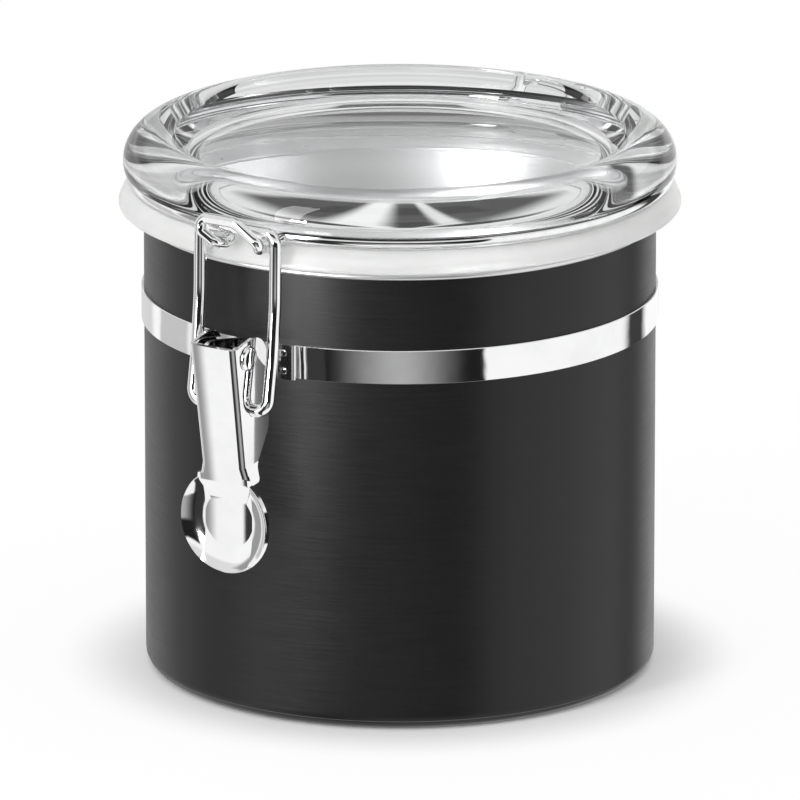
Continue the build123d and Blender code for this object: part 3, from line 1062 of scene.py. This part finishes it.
@dataclass(frozen=True)
class LidAssembly:
    """Clear lid, its gasket and the wire that hinges it and forms its nose. Sizes are in millimetres."""

    window_radius: float = 48.6
    window_top: float = 121.6
    window_bottom: float = 118.6
    dish_edge: Vector = field(default_factory=lambda: point(51.6, 125.2))
    dish_round: Vector = field(default_factory=lambda: point(53.6, 126.45))
    crown: Vector = field(default_factory=lambda: point(56.0, 127.0))
    bead_radius: float = 7.6
    bead_end: float = -14.0
    groove_radius: float = 61.6
    groove_z: float = 116.0
    groove_round: float = 1.35
    groove_lip: float = 60.9
    flange_radius: float = 60.6
    flange_bottom: float = 109.9
    plug_radius: float = 56.2
    plug_inside: float = 53.0
    plug_bottom: float = 104.4
    hollow_corner_z: float = 112.4
    hollow_slope: Vector = field(default_factory=lambda: point(50.2, 117.0))
    hollow_roof_radius: float = 46.2
    seat_gap: float = 0.04
    gasket_bottom: float = 108.2
    gasket_lip_radius: float = 57.4
    gasket_lip_bottom: float = 105.4
    gasket_seat: Vector = field(default_factory=lambda: point(61.5, 108.2))
    gasket_edge: Vector = field(default_factory=lambda: point(63.9, 109.0))
    gasket_swell: Vector = field(default_factory=lambda: point(64.6, 110.0))
    gasket_shoulder: Vector = field(default_factory=lambda: point(61.9, 114.1))
    wire_radius: float = 1.3
    hinge_y: float = 67.4
    hinge_z: float = 110.2
    hinge_half_width: float = 8.4
    hinge_turn: float = 12.0
    hinge_bend: float = 2.4
    nose_turn: float = 14.0
    nose_run: float = 6.0
    nose_front: float = -69.9
    nose_root: float = -64.3
    nose_tip: float = -68.0
    crest: float = 120.0
    tuck: float = 114.0
    right_x: float = 6.9
    left_x: float = -2.9
    loop_x: float = -7.4
    ring_steps: int = 150

    def build(self) -> None:
        """Makes the lid, the gasket and the wire in place of their CAD nodes."""
        turner = Turner()
        lid = turner.make(
            "lid_moulding", guide("lid_outline", self.lid_outline()), ClearAcrylic(), steps=360
        )
        gasket = turner.make(
            "gasket_ring", guide("gasket_outline", self.gasket_outline()), MilkySilicone(), steps=240
        )
        route = guide("wire_route", self.wire_route(), closed=True)
        wire = WireBender().make(
            "lid_wire_bent", route, DrawnWire("lid_wire_steel"), wire_radius=self.wire_radius * MM
        )
        for piece, node, slot in (
            (lid, "lid", "clear_acrylic"),
            (gasket, "gasket", "silicone"),
            (wire, "lid_wire", "bright_wire"),
        ):
            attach(piece, "lid")
            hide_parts(node)

    def lid_outline(self) -> list[Vector]:
        """Half section of the lid, from the window's underside round the outside to its top."""
        bead_centre = point(self.crown.x, self.crown.z - self.bead_radius)
        groove_centre = point(self.groove_radius, self.groove_z)
        reach = math.degrees(math.acos((self.groove_radius - self.flange_radius) / self.groove_round))
        lip_turn = math.degrees(math.acos((self.groove_radius - self.groove_lip) / self.groove_round))
        return rounded(
            [
                (point(0.0, self.window_bottom), 0.0),
                (point(self.hollow_roof_radius, self.window_bottom), 1.6),
                (self.hollow_slope, 2.2),
                (point(self.plug_inside, self.hollow_corner_z), 2.2),
                (point(self.plug_inside, self.plug_bottom), 0.7),
                (point(self.plug_radius, self.plug_bottom), 0.5),
                (point(self.plug_radius, self.flange_bottom), 0.3),
                (point(self.flange_radius, self.flange_bottom), 0.4),
                *arc(groove_centre, self.groove_round, 180.0 + reach, 180.0 - lip_turn, 10),
                *arc(bead_centre, self.bead_radius, self.bead_end, 90.0, 44),
                *arc_through(self.crown, self.dish_round, self.dish_edge, 10)[1:],
                (point(self.window_radius, self.window_top), 0.7),
                (point(0.0, self.window_top), 0.0),
            ]
        )

    def gasket_outline(self) -> list[Vector]:
        """Closed section of the gasket."""
        middle = point(
            self.gasket_swell.x - 0.85, (self.gasket_shoulder.z + self.gasket_swell.z) / 2.0 + 0.05
        )
        low = point(self.gasket_swell.x - 0.15, self.gasket_edge.z + 0.3)
        inner = self.plug_radius + self.seat_gap
        wall = self.flange_radius + self.seat_gap
        seat = self.flange_bottom - self.seat_gap
        return rounded(
            [
                (self.gasket_edge, 0.0),
                *arc_through(self.gasket_edge, low, self.gasket_swell, 5)[1:],
                *arc_through(self.gasket_swell, middle, self.gasket_shoulder, 12)[1:-1],
                (self.gasket_shoulder, 0.3),
                (point(wall, self.gasket_shoulder.z), 0.0),
                (point(wall, seat), 0.0),
                (point(inner, seat), 0.0),
                (point(inner, self.gasket_lip_bottom), 0.2),
                (point(self.gasket_lip_radius, self.gasket_lip_bottom), 0.3),
                (point(self.gasket_lip_radius, self.gasket_bottom), 0.4),
                (self.gasket_seat, 0.6),
                (self.gasket_edge, 0.0),
            ]
        )

    def wire_route(self) -> list[Vector]:
        """Middle line of the lid wire, once round from the nose's seam."""
        nose_turn, hinge_turn = math.radians(self.nose_turn), math.radians(self.hinge_turn)
        leave = Vector((math.sin(nose_turn), -math.cos(nose_turn), 0.0)) * self.groove_radius
        turn = leave - Vector((math.cos(nose_turn), math.sin(nose_turn), 0.0)) * self.nose_run
        hinge = Vector((math.sin(hinge_turn), math.cos(hinge_turn), 0.0)) * self.groove_radius
        hinge_run = (hinge.x - self.hinge_half_width) * math.tan(hinge_turn)
        level = Vector((0.0, 0.0, self.groove_z))
        front, crest, tuck = self.nose_front, self.crest, self.tuck
        seam = (Vector((0.0, front, crest)), 0.0)
        right = [
            (Vector((1.6, front, crest)), 5.2),
            (Vector((self.right_x + 1.1, front, tuck + 1.9)), 1.5),
            (Vector((self.right_x, self.nose_tip, tuck)), 2.0),
            (Vector((self.right_x, self.nose_root, tuck)), 2.0),
            (turn + level, 2.4),
        ]
        left = [
            (Vector((-turn.x, turn.y, self.groove_z)), 2.4),
            (Vector((self.left_x, self.nose_root, tuck)), 1.9),
            (Vector((self.left_x, self.nose_tip + 1.6, tuck)), 2.0),
            (Vector((self.left_x - 1.4, front + 0.6, tuck + 0.7)), 2.2),
            (Vector((self.loop_x, front - 0.5, crest - 2.8)), 1.4),
            (Vector((self.loop_x, front - 0.2, crest)), 1.8),
        ]
        behind = []
        for side in (1.0, -1.0):
            half = [
                (Vector((side * hinge.x, hinge.y, self.groove_z)), self.hinge_bend),
                (Vector((side * self.hinge_half_width, hinge.y + hinge_run, self.groove_z)), self.hinge_bend),
                (Vector((side * self.hinge_half_width, self.hinge_y, self.groove_z)), self.hinge_bend),
                (Vector((side * self.hinge_half_width, self.hinge_y, self.hinge_z)), self.hinge_bend),
            ]
            behind.extend(half if side > 0.0 else reversed(half))
        ring = [
            (level + Vector((math.sin(t), -math.cos(t), 0.0)) * self.groove_radius, 0.0)
            for t in (
                nose_turn + (math.pi - nose_turn - hinge_turn) * k / self.ring_steps
                for k in range(self.ring_steps)
            )
        ]
        other = [(Vector((-spot.x, spot.y, spot.z)), bend) for spot, bend in reversed(ring)]
        return rounded([seam, *right, *ring, *behind, *other, *left, seam], steps=10)[:-1]


def dress(nodes: Mapping[str, bpy.types.Object], names: Iterable[str], finish: Finish) -> None:
    """Gives CAD nodes their finish.

    Args:
        nodes: the frame's nodes by name.
        names: the nodes that take the finish.
        finish: the finish.
    """
    for name in names:
        node = nodes[name]
        node.data.materials.clear()
        node.data.materials.append(finish.material())
        log.info("%s takes %s", name, finish.name)


def main() -> None:
    """Loads the frame, builds each sub-assembly on it and sets up the studio."""
    logging.basicConfig(level=logging.INFO, format="%(name)s: %(message)s")
    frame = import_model()
    nodes = frame["nodes"]
    CanisterBody().build(nodes)
    LeverClamp().build(nodes)
    LidAssembly().build()
    Studio(Camera()).build()


if __name__ == "__main__":
    main()
